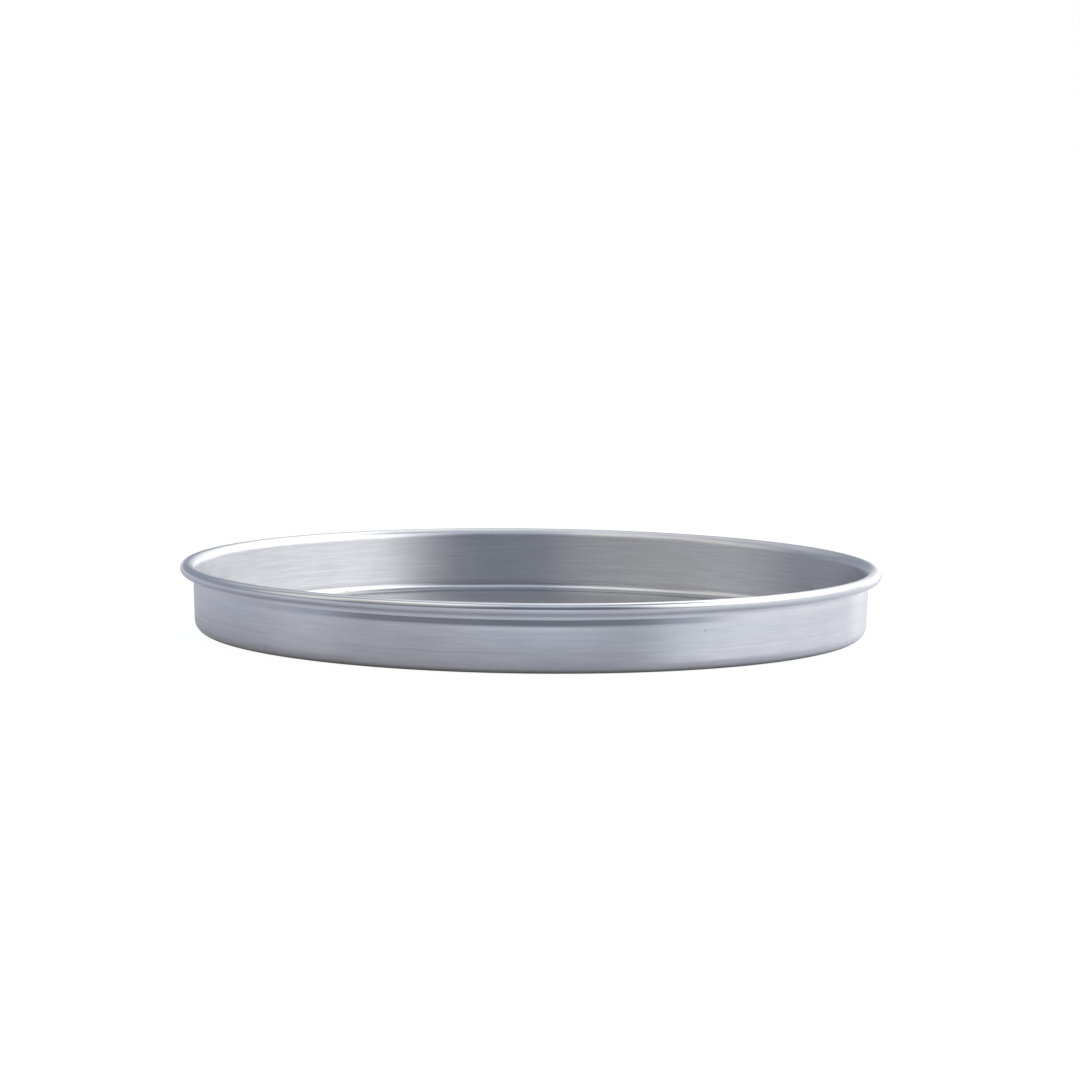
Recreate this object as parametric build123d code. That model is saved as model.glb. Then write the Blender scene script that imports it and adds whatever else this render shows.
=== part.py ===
"""Straight-sided pizza pan of bare aluminium, 10 inches across its floor and an inch deep.

The pan is one round sheet: a flat floor, a rounded corner, an almost upright wall, and a lip that rolls
outward and under into a hollow bead. A shallow groove runs round the outside of the wall under the bead.
A steel wire lies in the bead.
Millimetres and degrees. +Z is up, and the origin is the middle of the underside.
"""
import os
from math import asin, cos, degrees, radians, sin

from build123d import *

# The sheet and the pan as a whole
sheet_thickness = 1.0
rim_diameter = 266.7
overall_height = 25.9

# Corner and wall, measured on the face that holds the food
floor_corner_radius = 3.5
wall_lean = 2.2

# The lip, on the same face, and how far the edge then rolls under
lip_radius = 3.6
curl_turn = 255.0

# The groove that the curling tool leaves in the outside of the wall. It drops to its deepest line within
# its reach and comes back out over a rounded shoulder.
groove_top = 21.6
groove_reach = 2.0
groove_depth = 0.33
groove_lean = 7.0
groove_shoulder_radius = 12.0

# The wire that the edge is rolled round, with its ends butted, and the bead that the roll makes
wire_diameter = 2.1
wire_clearance = 0.2
wire_end_gap = 1.0
bead_diameter = wire_diameter + 2 * (wire_clearance + sheet_thickness)


def ring_centre():
    """The middle of the bead in the section, as distance from the pan's axis and height."""
    return rim_diameter / 2 - bead_diameter / 2, overall_height - bead_diameter / 2


def run_down(line, height):
    """A straight run that leaves the end of a line and stops at a height."""
    start = line @ 1
    heading = line % 1
    return Line(start, start + heading * ((height - start.Y) / heading.Y))


def bend(line, radius, turn):
    """An arc that leaves the end of a line smoothly, where a positive turn is anticlockwise."""
    return JernArc(line @ 1, line % 1, radius, turn)


def groove_below(line):
    """The groove in the outside of the wall, from the end of a line down the wall and back onto that line."""
    down = line % 1
    inward = down.rotate(Axis.Z, -90)
    deepest = line @ 1 + down * groove_reach + inward * groove_depth
    upper_flank = Line(line @ 1, deepest)
    lean = radians(groove_lean)
    flank_length = (groove_depth - groove_shoulder_radius * (1 - cos(lean))) / sin(lean)
    lower_flank = Line(deepest, deepest + down.rotate(Axis.Z, groove_lean) * flank_length)
    return [upper_flank, lower_flank, bend(lower_flank, groove_shoulder_radius, -groove_lean)]


def section_line(depth, grooved):
    """Section through the pan at a depth in the sheet, from the rolled edge to the pan's axis.

    At no depth it follows the face that holds the food, and at one sheet thickness the table side.
    The bends keep their centres, so the two lines stay one thickness apart but for the groove.
    """
    bead_x, bead_height = ring_centre()
    bead = CenterArc((bead_x, bead_height), bead_diameter / 2 - depth, 90 - curl_turn, curl_turn)
    lip = CenterArc((bead_x, overall_height - lip_radius), lip_radius - depth, 90, 90 - wall_lean)
    lines = [bead, lip]
    if grooved:
        lines.append(run_down(lip, groove_top))
        lines += groove_below(lines[-1])

    corner_radius = floor_corner_radius + depth
    corner_centre_height = sheet_thickness + floor_corner_radius
    wall = run_down(lines[-1], corner_centre_height - corner_radius * sin(radians(wall_lean)))
    corner = bend(wall, corner_radius, -(90 - wall_lean))
    floor = Line(corner @ 1, (0, (corner @ 1).Y))
    return [*lines, wall, corner, floor]


def make_pan():
    """The sheet between its two faces, turned round the pan's axis."""
    dish_side = section_line(0, grooved=False)
    table_side = section_line(sheet_thickness, grooved=True)
    cut_edge = Line(dish_side[0] @ 0, table_side[0] @ 0)
    on_axis = Line(dish_side[-1] @ 1, table_side[-1] @ 1)
    section = make_face([*dish_side, on_axis, *table_side, cut_edge])
    return revolve(Plane.XZ * section, Axis.Z)


def make_rim_wire():
    """The wire in the middle of the bead, open by the gap between its ends."""
    ring_radius, height = ring_centre()
    gap_angle = degrees(2 * asin(wire_end_gap / 2 / ring_radius))
    section = Plane.XZ * Pos(ring_radius, height) * Circle(wire_diameter / 2)
    return Rot(0, 0, gap_angle / 2) * revolve(section, Axis.Z, 360 - gap_angle)


def main():
    os.makedirs("parts", exist_ok=True)
    for name, piece in {"pan": make_pan(), "rim_wire": make_rim_wire()}.items():
        piece.label = name
        export_step(piece, f"parts/{name}.step")
        print(name, "volume", round(piece.volume, 1), "mm3, valid", piece.is_valid)


main()
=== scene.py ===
"""Pizza pan of bare spun aluminium, 10 inches by 1 inch, on a plain pale table.

Metres and radians. The pan stands on z = 0 with its axis on the Z axis, and the camera looks along +Y.
"""
from math import atan2, cos, exp, hypot, pi, radians, sin
from typing import NamedTuple

import bpy
from mathutils import Matrix, Vector


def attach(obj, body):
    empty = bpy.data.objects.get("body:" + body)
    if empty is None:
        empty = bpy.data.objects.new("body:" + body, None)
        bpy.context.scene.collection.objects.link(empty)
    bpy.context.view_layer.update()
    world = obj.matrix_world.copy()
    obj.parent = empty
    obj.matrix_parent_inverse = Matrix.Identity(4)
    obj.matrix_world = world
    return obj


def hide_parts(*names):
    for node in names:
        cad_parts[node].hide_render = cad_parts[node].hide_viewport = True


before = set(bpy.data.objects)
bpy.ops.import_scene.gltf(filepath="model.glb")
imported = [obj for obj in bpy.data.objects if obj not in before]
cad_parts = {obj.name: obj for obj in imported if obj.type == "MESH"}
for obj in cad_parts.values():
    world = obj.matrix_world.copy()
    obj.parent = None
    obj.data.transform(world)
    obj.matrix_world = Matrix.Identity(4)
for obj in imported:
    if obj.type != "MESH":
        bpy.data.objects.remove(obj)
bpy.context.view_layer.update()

MM = 0.001


class Spot(NamedTuple):
    """A point of the section: where it is, which way the line runs there and how the face is brushed."""
    radius: float
    height: float
    heading: float
    brushing: float


class Marks(NamedTuple):
    """Marks that run round the pan: how many lie along a metre, how often they break off and how ragged."""
    per_metre: float
    breaks_round: float
    raggedness: float


class Panel(NamedTuple):
    """A soft light of the studio, in degrees. Azimuth runs from the camera's side, positive to the right."""
    azimuth: float
    half_width: float
    side_blur: float
    lowest: float
    highest: float
    height_blur: float
    light: tuple


class Pool(NamedTuple):
    """A round pool of light on the table top: its middle, how far out it is full and where it is gone."""
    x: float
    y: float
    full: float
    gone: float
    light: tuple


# Sizes of the sheet, as the solids have them, with the rim a hair inside their facets
RIM_RADIUS = 133.335 * MM
PAN_HEIGHT = 25.9 * MM
SHEET = 1.0 * MM
CORNER_RADIUS = 3.5 * MM
WALL_LEAN = radians(2.2)
LIP_RADIUS = 3.6 * MM
BEAD_RADIUS = 2.25 * MM
CURL_TURN = radians(255)
GROOVE_TOP = 21.6 * MM
GROOVE_REACH = 2.0 * MM
GROOVE_DEPTH = 0.33 * MM
GROOVE_LEAN = radians(7)
SHOULDER_RADIUS = 12 * MM

# Fineness of the turned mesh, and a hair, for what is as good as flat or on the axis
SEGMENTS = 720
ROW_STEP = 0.3 * MM
GROOVE_STEP = 0.15 * MM
FLOOR_STEP = 1.2 * MM
BEND_STEP = radians(6)
BEND_STEPS = 3
SHOULDER_STEPS = 6
BLEND_ROWS = 3
HAIR = 0.01 * MM

# How far each part of the face is brushed: the roller burnishes the rim, and a belt brushes the walls
BURNISHED = 0.0
ROLLED = 0.08
SMOOTHED = 0.2
SATIN = 0.4
DULLED = 0.6
BRUSHED = 1.0

# Ridges that the spinning tool leaves in the wall, in a slow spiral. Each wave has its share of the height,
# its turns to a pitch, its slant and its start.
RIDGE_PITCH = 2.6 * MM
RIDGE_HEIGHT = 0.003 * MM
RIDGE_WAVES = ((1.0, 1.0, 1, 0), (0.7, 1.62, -2, 1), (0.4, 2.7, 1, 0))
RIDGE_SWELL = 0.3
FLOOR_RIDGE_SHARE = 0.5
INNER_WALL_TOP = 21.0 * MM
OUTER_WALL_TOP = 16.0 * MM

# Single rings round the pan: the height or radius where each one lies, how far it stands out, and its width
INNER_RINGS = ((10.5 * MM, 0.035 * MM, 0.5 * MM), (5.5 * MM, 0.05 * MM, 0.8 * MM))
OUTER_RINGS = ((8.0 * MM, -0.045 * MM, 0.45 * MM), (5.6 * MM, 0.02 * MM, 0.45 * MM))
FLOOR_RINGS = ((121.5 * MM, 0.015 * MM, 0.45 * MM), (117.0 * MM, -0.01 * MM, 0.45 * MM))

# Painted shade, darkening the metal's colour: in the crease under the bead, along the line where the dish's
# wall meets its corner, and on the floor of the dish, which grows lighter up its corner. The shade is the
# light left at the darkest place.
CREASE_HEIGHT = 21.3 * MM
CREASE_WIDTH = 0.55 * MM
CORNER_LINE_HEIGHT = 4.0 * MM
CORNER_LINE_WIDTH = 0.45 * MM
CORNER_LINE_DARKNESS = 0.38
FLOOR_DARKNESS = 0.48
CORNER_FADE = 2.2 * MM
PAINTED_SHADE_LIGHT = 0.35

# Traces of handling: faint smudges and tiny pits, how many lie along a metre and how light the metal is there
SMUDGES_PER_METRE = 45.0
SMUDGE_RAGGEDNESS = 2.0
SMUDGE_SHADES = (0.97, 1.015)
PITS_PER_METRE = 100.0
PIT_EDGE = (0.02, 0.04)
PIT_SHADES = (0.35, 1.0)

# Where most values of an uneven pattern lie, for marks with crisp, plain and soft edges
CRISP = (0.35, 0.65)
PLAIN = (0.3, 0.7)
SOFT = (0.25, 0.75)

# Bare aluminium: its two greys, its brushed marks, and how rough it is from the rim to the brushed wall. Its
# reflections are blurred across the marks.
DARKER_GREY = (0.805, 0.81, 0.825)
LIGHTER_GREY = (0.825, 0.83, 0.845)
FINE_MARKS = Marks(1600.0, 9.0, 2.5)
BROAD_MARKS = Marks(450.0, 3.5, 3.0)
SCRATCH_SHADES = (-0.06, 0.045)
SCRATCH_DEPTH = 0.02 * MM
SCRATCH_STRENGTH = 0.25
BRUSHED_LIGHTNESS = 1.035
ROUGHNESS = (0.09, 0.38)
STREAK_ROUGHNESS = (0.95, 1.06)
BRUSHING_BLUR = 0.9
ACROSS_THE_MARKS = 0.25

# Dull zinc on the wire, in spangles
DARKER_ZINC = (0.36, 0.37, 0.38)
LIGHTER_ZINC = (0.52, 0.53, 0.54)
ZINC_ROUGHNESS = (0.45, 0.6)
SPANGLES_PER_METRE = 400

# The studio: soft panels of light, with edges in degrees. A black card round the camera keeps half of the
# light off, and the backdrop is the white horizon behind the pan, which shows in the metal too.
ROOM_LIGHT = (0.302, 0.332, 0.4)
WINDOW = Panel(98, 47, 27, 10, 58, 8, (1.378, 1.36, 1.32))
LOW_RIGHT = Panel(118, 52, 14, -12, 8, 8, (0.5, 0.485, 0.475))
LOW_BACK_RIGHT = Panel(158, 14, 10, -12, 22, 8, (0.62, 0.6, 0.585))
BACK_RIGHT = Panel(157, 15, 12, 22, 60, 8, (0.685, 0.68, 0.64))
BACK_CEILING = Panel(175, 36, 24, 50, 89, 8, (0.6, 0.595, 0.585))
LEFT_WALL = Panel(-62, 38, 18, 14, 78, 8, (0.484, 0.435, 0.355))
BACK_WALL = Panel(-165, 32, 20, 30, 56, 10, (0.305, 0.28, 0.25))
FRONT_HIGH = Panel(-10, 70, 18, 52, 88, 14, (0.3, 0.325, 0.368))
PANELS = (WINDOW, LOW_RIGHT, LOW_BACK_RIGHT, BACK_RIGHT, BACK_CEILING, LEFT_WALL, BACK_WALL, FRONT_HIGH)
BLACK_CARD = Panel(-11, 55, 12, -20, 46, 18, (0.0, 0.0, 0.0))
CARD_COVER = 0.5
BACKDROP = Panel(172, 58, 15, -20, 3, 4, (0.4, 0.38, 0.36))
WHITE = (1, 1, 1)
NEARLY_OVERHEAD = 1e-4

# The table top. The camera sees it white. The metal sees it as pale satin grey, lighter in two pools of light
# in front of the pan and on its right, and dark in the shade round its foot.
TABLE_HALF = 6.0
TABLE_DROP = 0.02 * MM
TABLE_COLOUR = (0.5, 0.535, 0.63)
TABLE_ROUGHNESS = 0.22
TABLE_GLOW = (0.089, 0.076, 0.058)
FRONT_POOL = Pool(0.0, -0.26, 0.03, 0.12, (0.178, 0.198, 0.228))
RIGHT_POOL = Pool(0.2, -0.16, 0.05, 0.18, (0.0, 0.014, 0.015))
SHADE_FULL = 121 * MM
SHADE_GONE = 129 * MM
SHADE_LIGHT = 0.35

# The white ground glows, and a thin grey veil over it takes the pan's shadow
GROUND_WHITE = 0.95
SHADOW_VEIL = (0.12, 0.12, 0.12)

# The camera, fitted to the photograph's 1080 x 1080 frame
FRAME_PIXELS = 1080
FOCAL_PIXELS = 4010.97
CAMERA_DISTANCE = 1.530
CAMERA_PITCH = 0.1094
CAMERA_ROLL = 0.0112
RIM_CENTRE_PIXEL = (531.03, 568.42)


class Section:
    """Line through the sheet's section, drawn from point to point with smooth bends."""

    def __init__(self, radius, height, heading):
        self.spots = [Spot(radius, height, heading, BURNISHED)]

    def run(self, length, brushing, step=ROW_STEP):
        """A straight run along the heading."""
        start = self.spots[-1]
        steps = max(1, round(length / step))
        for i in range(1, steps + 1):
            part = length * i / steps
            radius = start.radius + part * cos(start.heading)
            height = start.height + part * sin(start.heading)
            self.spots.append(Spot(radius, height, start.heading, brushing))

    def run_to_height(self, height, brushing):
        end = self.spots[-1]
        self.run((height - end.height) / sin(end.heading), brushing)

    def turn(self, angle):
        """A sharp change of heading."""
        end = self.spots[-1]
        self.spots[-1] = end._replace(heading=end.heading + angle)

    def bend(self, radius, turn, brushing, fewest=BEND_STEPS):
        """An arc that starts along the heading. A positive turn is anticlockwise."""
        start = self.spots[-1]
        arm = radius if turn > 0 else -radius
        centre_r = start.radius - arm * sin(start.heading)
        centre_z = start.height + arm * cos(start.heading)
        steps = max(fewest, round(abs(turn) / BEND_STEP))
        for i in range(1, steps + 1):
            heading = start.heading + turn * i / steps
            r, z = centre_r + arm * sin(heading), centre_z - arm * cos(heading)
            self.spots.append(Spot(r, z, heading, brushing))


def section_at(depth, bead_finish, lip, wall, corner, floor):
    """The sheet's section at a depth under the face that holds the food, from the rolled edge to the axis.

    The last values say how the bead, the lip, the wall, the corner and the floor are brushed.
    """
    bead = BEAD_RADIUS - depth
    start = pi / 2 - CURL_TURN
    bead_r, bead_z = RIM_RADIUS - BEAD_RADIUS, PAN_HEIGHT - BEAD_RADIUS
    line = Section(bead_r + bead * cos(start), bead_z + bead * sin(start), start + pi / 2)
    line.bend(bead, CURL_TURN, bead_finish)
    line.bend(LIP_RADIUS - depth, pi / 2 - WALL_LEAN, lip)
    if depth > 0:
        line.run_to_height(GROOVE_TOP, bead_finish)
        groove(line, bead_finish)
    line.run_to_height(SHEET + CORNER_RADIUS - (CORNER_RADIUS + depth) * sin(WALL_LEAN), wall)
    line.bend(CORNER_RADIUS + depth, -(pi / 2 - WALL_LEAN), corner)
    line.run(line.spots[-1].radius, floor, FLOOR_STEP)
    return line.spots


def groove(line, brushing):
    """The groove in the outside of the wall: down to its deepest line and back out over its shoulder."""
    steepness = atan2(GROOVE_DEPTH, GROOVE_REACH)
    line.turn(-steepness)
    line.run(hypot(GROOVE_DEPTH, GROOVE_REACH), brushing, GROOVE_STEP)
    line.turn(steepness + GROOVE_LEAN)
    flank = (GROOVE_DEPTH - SHOULDER_RADIUS * (1 - cos(GROOVE_LEAN))) / sin(GROOVE_LEAN)
    line.run(flank, brushing, GROOVE_STEP)
    line.bend(SHOULDER_RADIUS, -GROOVE_LEAN, brushing, SHOULDER_STEPS)


def ridges(travel, angle):
    """Height of the spinning ridges at a distance along the face and an angle round the pan."""
    wander = sin(2 * angle + 1) * sin(3 * angle + 2 + travel / (3 * RIDGE_PITCH))
    turns = 2 * pi * travel / RIDGE_PITCH
    waves = 0.0
    for share, pace, slant, start in RIDGE_WAVES:
        waves += share * sin(pace * turns + slant * angle + start)
    return RIDGE_HEIGHT * (1 + RIDGE_SWELL * (wander - 1)) * waves


def ring(place, middle, strength, width):
    """How strong a single round mark is at a place across the face."""
    return strength * exp(-((place - middle) / width) ** 2)


def rings(place, marks):
    return sum(ring(place, *mark) for mark in marks)


def rise_of_face(spot, depth, angle):
    """How far the real face stands out from the drawn section there."""
    if depth == 0 and spot.height < SHEET + HAIR:
        return ridges(spot.radius, angle) * FLOOR_RIDGE_SHARE + rings(spot.radius, FLOOR_RINGS)
    marks, top = (INNER_RINGS, INNER_WALL_TOP) if depth == 0 else (OUTER_RINGS, OUTER_WALL_TOP)
    if SHEET + CORNER_RADIUS < spot.height < top and spot.radius < RIM_RADIUS - 2 * BEAD_RADIUS:
        return ridges(spot.height, angle) + rings(spot.height, marks)
    return 0.0


def painted_shade_at(spot, depth):
    """How much painted shade darkens the face, from 0 to 1: in the crease, along the corner line and on the
    floor.
    """
    if depth > 0:
        return ring(spot.height, CREASE_HEIGHT, 1.0, CREASE_WIDTH)
    corner_line = ring(spot.height, CORNER_LINE_HEIGHT, CORNER_LINE_DARKNESS, CORNER_LINE_WIDTH)
    return corner_line + ring(spot.height, SHEET, FLOOR_DARKNESS, CORNER_FADE)


def circle_of(spot, depth, side):
    """The points of one row round the pan, with the marks of its making. The side is 1 on the dish's face."""
    out_r, out_z = side * sin(spot.heading), -side * cos(spot.heading)
    points = []
    for i in range(SEGMENTS):
        angle = 2 * pi * i / SEGMENTS
        rise = rise_of_face(spot, depth, angle)
        radius = spot.radius + rise * out_r
        points.append((radius * cos(angle), radius * sin(angle), spot.height + rise * out_z))
    return points


def shell_faces(row_count):
    """Faces of a closed shell of rows, with a point on the axis before the first row and after the last."""
    last = 1 + row_count * SEGMENTS

    def at(row, i):
        return 1 + row * SEGMENTS + i % SEGMENTS

    faces = [(0, at(0, i), at(0, i + 1)) for i in range(SEGMENTS)]
    for row in range(row_count - 1):
        faces += [(at(row, i), at(row + 1, i), at(row + 1, i + 1), at(row, i + 1)) for i in range(SEGMENTS)]
    faces += [(last, at(row_count - 1, i + 1), at(row_count - 1, i)) for i in range(SEGMENTS)]
    return faces


def store_rows(mesh, name, by_row):
    """Stores a value of each row of the mesh at its corners, blended from row to row."""
    blended = []
    for row in range(len(by_row)):
        near = by_row[max(0, row - BLEND_ROWS):row + BLEND_ROWS + 1]
        blended.append(sum(near) / len(near))
    values = [blended[0]]
    for value in blended:
        values += [value] * SEGMENTS
    values.append(blended[-1])
    mesh.attributes.new(name, "FLOAT", "POINT").data.foreach_set("value", values)


def turned(name, table_side, dish_side):
    """Turns both faces of the sheet round the axis into one closed shell."""
    rows = [(spot, SHEET, -1) for spot in reversed(table_side[:-1])]
    rows += [(spot, 0.0, 1) for spot in dish_side[:-1]]
    verts = [(0, 0, table_side[-1].height)]
    for row in rows:
        verts += circle_of(*row)
    verts.append((0, 0, dish_side[-1].height))
    mesh = bpy.data.meshes.new(name)
    mesh.from_pydata(verts, [], shell_faces(len(rows)))
    mesh.shade_smooth()
    store_rows(mesh, "brushing", [spot.brushing for spot, depth, side in rows])
    # The painted shade of each row, which darkens the metal's colour in the crease and round the dish's
    # corner
    store_rows(mesh, "painted_shade", [painted_shade_at(spot, depth) for spot, depth, side in rows])
    piece = bpy.data.objects.new(name, mesh)
    bpy.context.scene.collection.objects.link(piece)
    return piece


def make_sheet():
    """The pan's sheet, with both its faces and its rolled edge."""
    table_side = section_at(SHEET, ROLLED, ROLLED, SATIN, SATIN, SATIN)
    dish_side = section_at(0, ROLLED, DULLED, BRUSHED, SMOOTHED, SATIN)
    return turned("pan_sheet", table_side, dish_side)


def feed(tree, value, socket):
    """Gives a socket its value: a number, a colour, or the output of another node."""
    if isinstance(value, bpy.types.NodeSocket):
        tree.links.new(value, socket)
    elif socket.type == "RGBA":
        socket.default_value = (*value, 1)
    else:
        socket.default_value = value


def maths(tree, operation, *values):
    """The result of an operation on numbers or outputs."""
    made = tree.nodes.new("ShaderNodeMath")
    made.operation = operation
    for value, socket in zip(values, made.inputs):
        feed(tree, value, socket)
    return made.outputs[0]


def distance_from(tree, x, y, centre_x=0.0, centre_y=0.0):
    """How far a place is from a centre, seen from above."""
    away_x = maths(tree, "SUBTRACT", x, centre_x)
    away_y = maths(tree, "SUBTRACT", y, centre_y)
    square_x = maths(tree, "MULTIPLY", away_x, away_x)
    square_y = maths(tree, "MULTIPLY", away_y, away_y)
    return maths(tree, "SQRT", maths(tree, "ADD", square_x, square_y))


def ramp(tree, value, low, high, out_low=0.0, out_high=1.0):
    """Maps low..high to out_low..out_high, smoothly and clamped."""
    made = tree.nodes.new("ShaderNodeMapRange")
    made.interpolation_type = "SMOOTHSTEP"
    tree.links.new(value, made.inputs["Value"])
    made.inputs["From Min"].default_value = low
    made.inputs["From Max"].default_value = high
    made.inputs["To Min"].default_value = out_low
    made.inputs["To Max"].default_value = out_high
    return made.outputs["Result"]


def blend_colour(tree, mask, low, high):
    """Goes from one colour to the other with a mask."""
    made = tree.nodes.new("ShaderNodeMix")
    made.data_type = "RGBA"
    feed(tree, mask, made.inputs["Factor"])
    colour_sockets = [socket for socket in made.inputs if socket.type == "RGBA"]
    feed(tree, low, colour_sockets[0])
    feed(tree, high, colour_sockets[1])
    return next(socket for socket in made.outputs if socket.type == "RGBA")


def scaled(tree, colour, factor):
    """A colour made brighter or darker by a value."""
    made = tree.nodes.new("ShaderNodeVectorMath")
    made.operation = "SCALE"
    feed(tree, colour, made.inputs[0])
    feed(tree, factor, made.inputs["Scale"])
    return made.outputs[0]


def summed(tree, one, other):
    """Two colours of light together."""
    made = tree.nodes.new("ShaderNodeVectorMath")
    feed(tree, one, made.inputs[0])
    feed(tree, other, made.inputs[1])
    return made.outputs[0]


def added(tree, one, other):
    """Two shaders together."""
    made = tree.nodes.new("ShaderNodeAddShader")
    tree.links.new(one, made.inputs[0])
    tree.links.new(other, made.inputs[1])
    return made.outputs[0]


def coordinates(tree, kind):
    """The x, y and z of a place or direction."""
    place = tree.nodes.new("ShaderNodeTexCoord")
    split = tree.nodes.new("ShaderNodeSeparateXYZ")
    tree.links.new(place.outputs[kind], split.inputs[0])
    return split.outputs


def stored_value(tree, name):
    """A value that the mesh keeps at its corners."""
    made = tree.nodes.new("ShaderNodeAttribute")
    made.attribute_name = name
    return made.outputs["Fac"]


def turning_marks_group():
    """Marks that run round the pan's axis: long fine streaks, as a value about 0.5."""
    group = bpy.data.node_groups.new("turning_marks", "ShaderNodeTree")
    for name in ("Marks per metre", "Breaks round", "Raggedness"):
        group.interface.new_socket(name=name, in_out="INPUT", socket_type="NodeSocketFloat")
    group.interface.new_socket(name="Streaks", in_out="OUTPUT", socket_type="NodeSocketFloat")
    enter = group.nodes.new("NodeGroupInput")
    leave = group.nodes.new("NodeGroupOutput")
    x, y, z = coordinates(group, "Object")
    radius = distance_from(group, x, y)
    safe = maths(group, "MAXIMUM", radius, HAIR)
    pitch, breaks = enter.outputs["Marks per metre"], enter.outputs["Breaks round"]
    join = group.nodes.new("ShaderNodeCombineXYZ")
    group.links.new(maths(group, "MULTIPLY", radius, pitch), join.inputs[0])
    group.links.new(maths(group, "MULTIPLY", z, pitch), join.inputs[1])
    group.links.new(maths(group, "MULTIPLY", maths(group, "DIVIDE", x, safe), breaks), join.inputs[2])
    noise = group.nodes.new("ShaderNodeTexNoise")
    noise.noise_dimensions = "4D"
    noise.inputs["Scale"].default_value = 1.0
    group.links.new(join.outputs[0], noise.inputs["Vector"])
    group.links.new(maths(group, "MULTIPLY", maths(group, "DIVIDE", y, safe), breaks), noise.inputs["W"])
    group.links.new(enter.outputs["Raggedness"], noise.inputs["Detail"])
    group.links.new(noise.outputs["Fac"], leave.inputs["Streaks"])
    return group


def streaks_of(tree, turning_marks, marks):
    """The turning marks of one fineness."""
    made = tree.nodes.new("ShaderNodeGroup")
    made.node_tree = turning_marks
    made.inputs["Marks per metre"].default_value = marks.per_metre
    made.inputs["Breaks round"].default_value = marks.breaks_round
    made.inputs["Raggedness"].default_value = marks.raggedness
    return made.outputs["Streaks"]


def handling_marks(tree):
    """How much the faint smudges and the few tiny pits dim the metal, as a factor about one."""
    place = tree.nodes.new("ShaderNodeTexCoord")
    smudge = tree.nodes.new("ShaderNodeTexNoise")
    smudge.inputs["Scale"].default_value = SMUDGES_PER_METRE
    smudge.inputs["Detail"].default_value = SMUDGE_RAGGEDNESS
    pit = tree.nodes.new("ShaderNodeTexVoronoi")
    pit.inputs["Scale"].default_value = PITS_PER_METRE
    for texture in (smudge, pit):
        tree.links.new(place.outputs["Object"], texture.inputs["Vector"])
    dimmed = ramp(tree, smudge.outputs["Fac"], *CRISP, *SMUDGE_SHADES)
    return maths(tree, "MULTIPLY", dimmed, ramp(tree, pit.outputs["Distance"], *PIT_EDGE, *PIT_SHADES))


def aluminium_colour(tree, fine, broad, brushing):
    """The metal's grey, streaks and scratches, painted shade in crease and corners, and traces of handling.
    """
    colour = blend_colour(tree, ramp(tree, broad, *PLAIN), DARKER_GREY, LIGHTER_GREY)
    scratched = ramp(tree, fine, *PLAIN, *SCRATCH_SHADES)
    marked = ramp(tree, brushing, BURNISHED, SATIN)
    streaks = maths(tree, "ADD", maths(tree, "MULTIPLY", scratched, marked), 1.0)
    # Painted shade: the colour is darkened where shade falls, in the crease under the bead and round the
    # dish's corner
    painted_shade = ramp(tree, stored_value(tree, "painted_shade"), 0.0, 1.0, 1.0, PAINTED_SHADE_LIGHT)
    painted_shade_and_handling = maths(tree, "MULTIPLY", painted_shade, handling_marks(tree))
    colour = scaled(tree, colour, maths(tree, "MULTIPLY", streaks, painted_shade_and_handling))
    return scaled(tree, colour, ramp(tree, brushing, DULLED, BRUSHED, 1.0, BRUSHED_LIGHTNESS))


def bare_aluminium(turning_marks):
    """Bare aluminium, burnished at the rim and brushed round the axis on the walls."""
    material = bpy.data.materials.new("bare_aluminium")
    material.use_nodes = True
    tree = material.node_tree
    shader = tree.nodes["Principled BSDF"]
    shader.inputs["Metallic"].default_value = 1.0
    shader.inputs["Anisotropic"].default_value = BRUSHING_BLUR
    shader.inputs["Anisotropic Rotation"].default_value = ACROSS_THE_MARKS
    brushing = stored_value(tree, "brushing")
    fine = streaks_of(tree, turning_marks, FINE_MARKS)
    broad = streaks_of(tree, turning_marks, BROAD_MARKS)
    tree.links.new(aluminium_colour(tree, fine, broad, brushing), shader.inputs["Base Color"])
    belt = ramp(tree, brushing, BURNISHED, BRUSHED, *ROUGHNESS)
    uneven = ramp(tree, broad, *SOFT, *STREAK_ROUGHNESS)
    tree.links.new(maths(tree, "MULTIPLY", belt, uneven), shader.inputs["Roughness"])
    bump = tree.nodes.new("ShaderNodeBump")
    bump.inputs["Strength"].default_value = SCRATCH_STRENGTH
    bump.inputs["Distance"].default_value = SCRATCH_DEPTH
    tree.links.new(fine, bump.inputs["Height"])
    tree.links.new(bump.outputs[0], shader.inputs["Normal"])
    return material


def galvanised_wire():
    """Dull zinc on the steel wire in the bead."""
    material = bpy.data.materials.new("galvanised_wire")
    material.use_nodes = True
    tree = material.node_tree
    shader = tree.nodes["Principled BSDF"]
    shader.inputs["Metallic"].default_value = 1.0
    spangles = tree.nodes.new("ShaderNodeTexNoise")
    spangles.inputs["Scale"].default_value = SPANGLES_PER_METRE
    colour = blend_colour(tree, spangles.outputs["Fac"], DARKER_ZINC, LIGHTER_ZINC)
    tree.links.new(colour, shader.inputs["Base Color"])
    tree.links.new(ramp(tree, spangles.outputs["Fac"], *PLAIN, *ZINC_ROUGHNESS), shader.inputs["Roughness"])
    return material


def seen_directly(tree):
    """One where the camera looks straight at a thing, and one where the metal reflects it."""
    path = tree.nodes.new("ShaderNodeLightPath")
    direct = maths(tree, "MAXIMUM", path.outputs["Is Camera Ray"], path.outputs["Is Transmission Ray"])
    return direct, path.outputs["Is Glossy Ray"]


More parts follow.
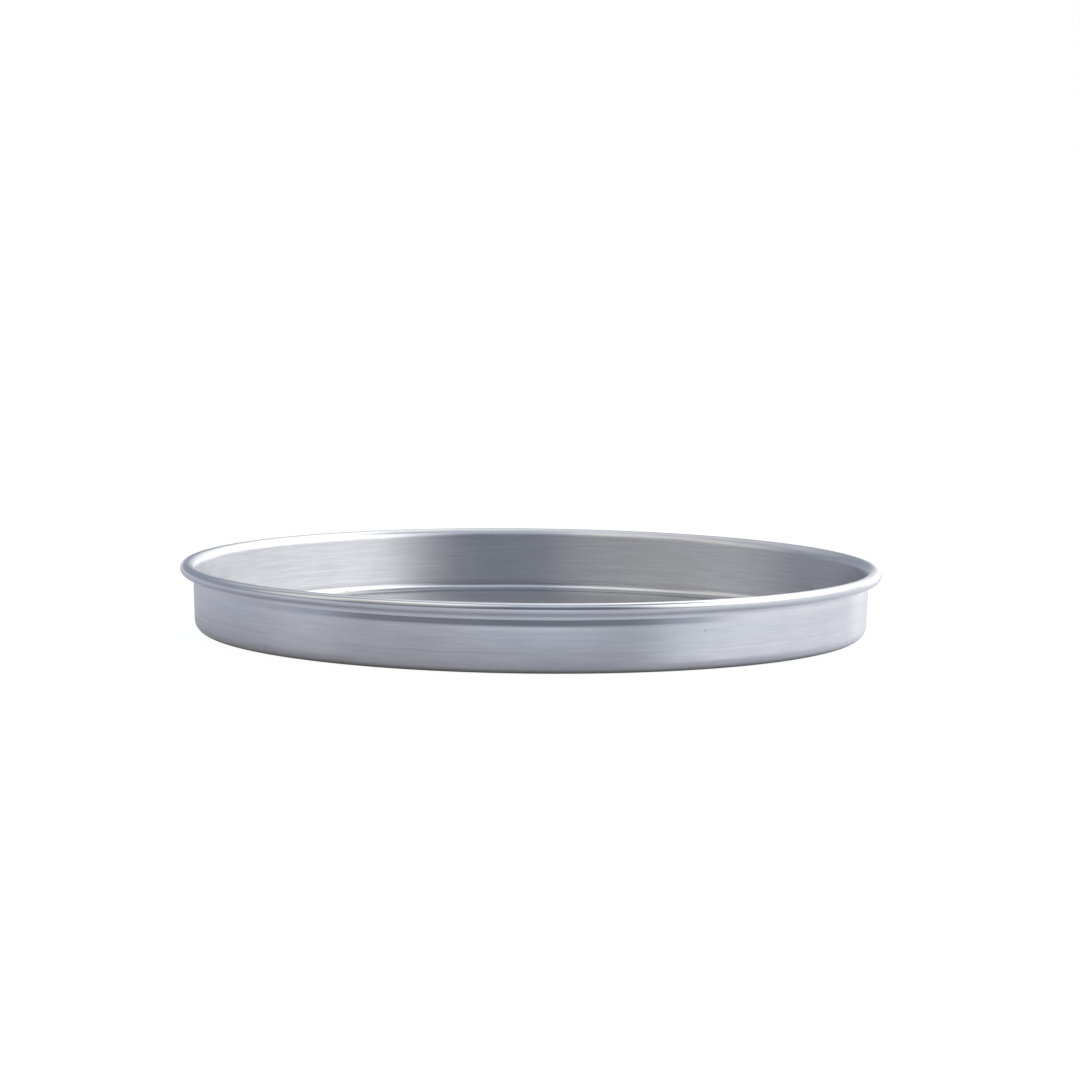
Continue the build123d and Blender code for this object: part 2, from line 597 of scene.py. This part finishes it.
def table_in_metal(tree, satin, in_metal):
    """The table top as the metal reflects it: its satin shine with pools of light, and shade at the foot."""
    x, y, z = coordinates(tree, "Object")
    shade = ramp(tree, distance_from(tree, x, y), SHADE_FULL, SHADE_GONE, SHADE_LIGHT, 1.0)
    tree.links.new(scaled(tree, TABLE_COLOUR, shade), satin.inputs["Base Color"])
    light = scaled(tree, TABLE_GLOW, shade)
    for pool in (FRONT_POOL, RIGHT_POOL):
        reach = ramp(tree, distance_from(tree, x, y, pool.x, pool.y), pool.full, pool.gone, 1.0, 0.0)
        light = summed(tree, light, scaled(tree, pool.light, maths(tree, "MULTIPLY", reach, shade)))
    glow = tree.nodes.new("ShaderNodeEmission")
    tree.links.new(light, glow.inputs["Color"])
    tree.links.new(in_metal, glow.inputs["Strength"])
    return added(tree, satin.outputs[0], glow.outputs[0])


def white_ground(tree):
    """The table top as the camera sees it: white, with the pan's soft shadow on it."""
    glow = tree.nodes.new("ShaderNodeEmission")
    glow.inputs["Strength"].default_value = GROUND_WHITE
    veil = tree.nodes.new("ShaderNodeBsdfDiffuse")
    feed(tree, SHADOW_VEIL, veil.inputs["Color"])
    return added(tree, glow.outputs[0], veil.outputs[0])


def table_top():
    """White to the camera and pale satin grey in the metal."""
    material = bpy.data.materials.new("table_top")
    material.use_nodes = True
    tree = material.node_tree
    satin = tree.nodes["Principled BSDF"]
    satin.inputs["Roughness"].default_value = TABLE_ROUGHNESS
    direct, in_metal = seen_directly(tree)
    mix = tree.nodes.new("ShaderNodeMixShader")
    tree.links.new(direct, mix.inputs[0])
    tree.links.new(table_in_metal(tree, satin, in_metal), mix.inputs[1])
    tree.links.new(white_ground(tree), mix.inputs[2])
    tree.links.new(mix.outputs[0], tree.nodes["Material Output"].inputs["Surface"])
    return material


def pale_table():
    """The wide flat table, a hair under the pan."""
    mesh = bpy.data.meshes.new("floor")
    half = TABLE_HALF
    corners = [(-half, -half, 0), (half, -half, 0), (half, half, 0), (-half, half, 0)]
    mesh.from_pydata(corners, [], [(0, 1, 2, 3)])
    mesh.materials.append(table_top())
    floor = bpy.data.objects.new("floor", mesh)
    bpy.context.scene.collection.objects.link(floor)
    floor.location.z = -TABLE_DROP


def panel_reach(tree, direction, panel):
    """How much of a panel shows in a direction, from none to all, with blurred edges."""
    x, y, z = direction
    turn = radians(panel.azimuth)
    along = maths(tree, "ADD", maths(tree, "MULTIPLY", x, sin(turn)), maths(tree, "MULTIPLY", y, -cos(turn)))
    flat = maths(tree, "MAXIMUM", distance_from(tree, x, y), NEARLY_OVERHEAD)
    facing = maths(tree, "DIVIDE", along, flat)
    wide, blur = radians(panel.half_width), radians(panel.side_blur)
    across = ramp(tree, facing, cos(min(pi, wide + blur)), cos(max(0.0, wide - blur)))
    low, high, soft = radians(panel.lowest), radians(panel.highest), radians(panel.height_blur)
    over = ramp(tree, z, sin(low - soft), sin(low + soft))
    under = ramp(tree, z, sin(high - soft), sin(min(pi / 2, high + soft)), 1.0, 0.0)
    return maths(tree, "MULTIPLY", across, maths(tree, "MULTIPLY", over, under))


def studio():
    """The lights round the table, and the white backdrop that the camera and the metal see."""
    world = bpy.data.worlds.new("studio")
    bpy.context.scene.world = world
    world.use_nodes = True
    tree = world.node_tree
    direction = coordinates(tree, "Generated")
    light = ROOM_LIGHT
    for panel in PANELS:
        light = summed(tree, light, scaled(tree, panel.light, panel_reach(tree, direction, panel)))
    cover = maths(tree, "MULTIPLY", panel_reach(tree, direction, BLACK_CARD), -CARD_COVER)
    light = scaled(tree, light, maths(tree, "ADD", cover, 1.0))
    direct, in_metal = seen_directly(tree)
    backdrop = maths(tree, "MULTIPLY", in_metal, panel_reach(tree, direction, BACKDROP))
    light = summed(tree, light, scaled(tree, BACKDROP.light, backdrop))
    tree.links.new(blend_colour(tree, direct, light, WHITE), tree.nodes["Background"].inputs["Color"])


def camera():
    """In front of the pan and a little above it, with the view shifted to the photograph's frame."""
    data = bpy.data.cameras.new("camera")
    data.lens = data.sensor_width * FOCAL_PIXELS / FRAME_PIXELS
    data.shift_x = (FRAME_PIXELS / 2 - RIM_CENTRE_PIXEL[0]) / FRAME_PIXELS
    data.shift_y = (RIM_CENTRE_PIXEL[1] - FRAME_PIXELS / 2) / FRAME_PIXELS
    cam = bpy.data.objects.new("camera", data)
    bpy.context.scene.collection.objects.link(cam)
    target = Vector((0, 0, PAN_HEIGHT - BEAD_RADIUS))
    back = Vector((0, -cos(CAMERA_PITCH), sin(CAMERA_PITCH)))
    turn = Matrix.Rotation(pi / 2 - CAMERA_PITCH, 4, "X") @ Matrix.Rotation(CAMERA_ROLL, 4, "Z")
    cam.matrix_world = Matrix.Translation(target + CAMERA_DISTANCE * back) @ turn
    bpy.context.scene.camera = cam


def main():
    bpy.context.scene.view_settings.view_transform = "Standard"
    sheet = make_sheet()
    sheet.data.materials.append(bare_aluminium(turning_marks_group()))
    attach(sheet, "root")
    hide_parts("pan")
    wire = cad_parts["rim_wire"]
    wire.data.materials.clear()
    wire.data.materials.append(galvanised_wire())
    pale_table()
    studio()
    camera()


main()
